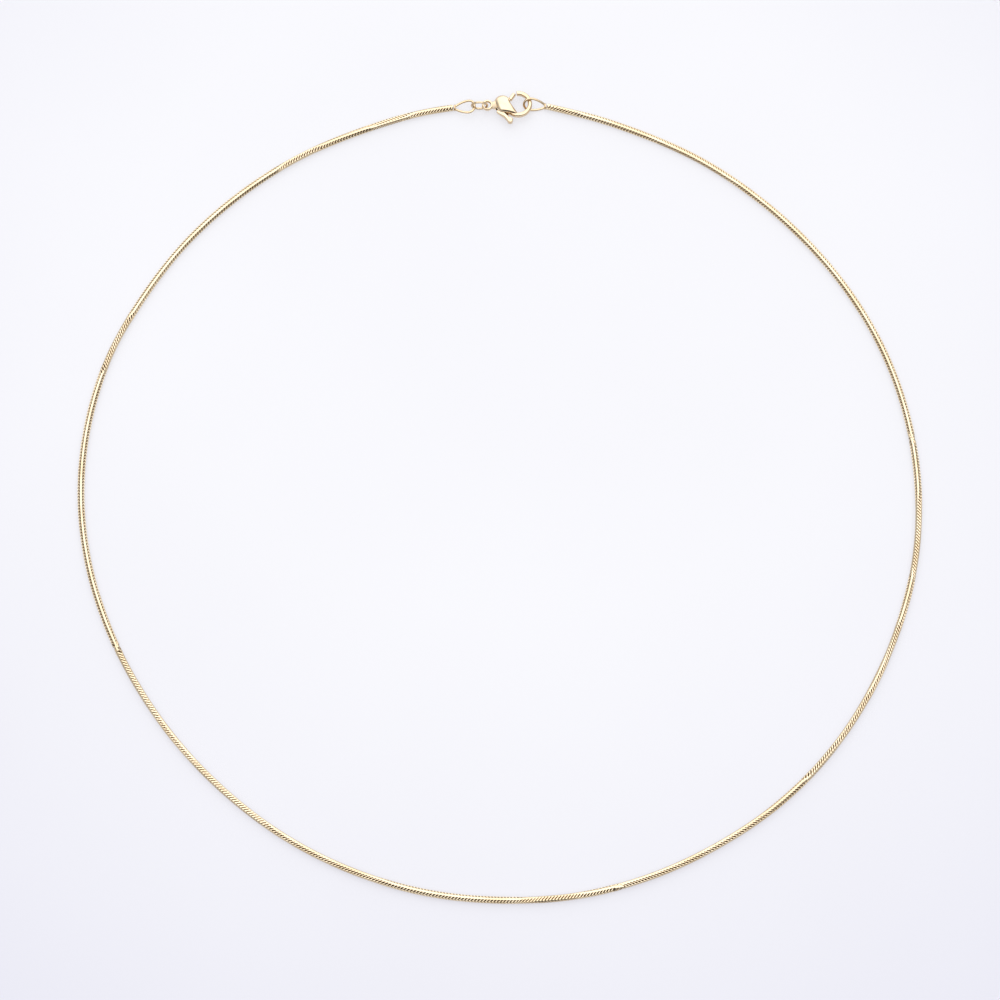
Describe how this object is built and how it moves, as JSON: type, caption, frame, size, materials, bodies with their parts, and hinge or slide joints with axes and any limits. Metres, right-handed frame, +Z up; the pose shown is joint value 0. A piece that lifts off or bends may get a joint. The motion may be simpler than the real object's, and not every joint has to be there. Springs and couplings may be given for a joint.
{
  "type": "necklace chain",
  "caption": "Slim square snake chain necklace in polished gold-coloured metal, lying as an open ring, closed by a lobster clasp with a sprung lever.",
  "frame": {"origin": "on the surface that the necklace lies on, under the middle of its bounding box", "axes": "+Z up from the surface, +Y from the middle of the ring towards the clasp, +X along the clasp from its eye to its hook"},
  "size_m": [0.1452, 0.147, 0.0031],
  "materials": {
    "chain_gold": "polished gold-coloured links",
    "wire_gold": "polished gold-coloured wire",
    "clasp_gold": "mirror-polished gold-coloured casting"
  },
  "bodies": {
    "necklace": {"chain": "chain_gold", "end_loop_left": "wire_gold", "end_loop_right": "wire_gold", "jump_ring": "wire_gold", "clasp_body": "clasp_gold", "clasp_pin": "clasp_gold"},
    "clasp_lever": {"clasp_lever": "clasp_gold"}
  },
  "joints": [
    {"name": "lever_hinge", "type": "hinge", "parent": "necklace", "child": "clasp_lever", "pos_m": [0.00057, 0.07075, 0.0012], "axis": [0, 0, -1], "range_deg": [0, 22], "stiffness_Nm_per_rad": 0.004, "springref_deg": -17.19}
  ]
}
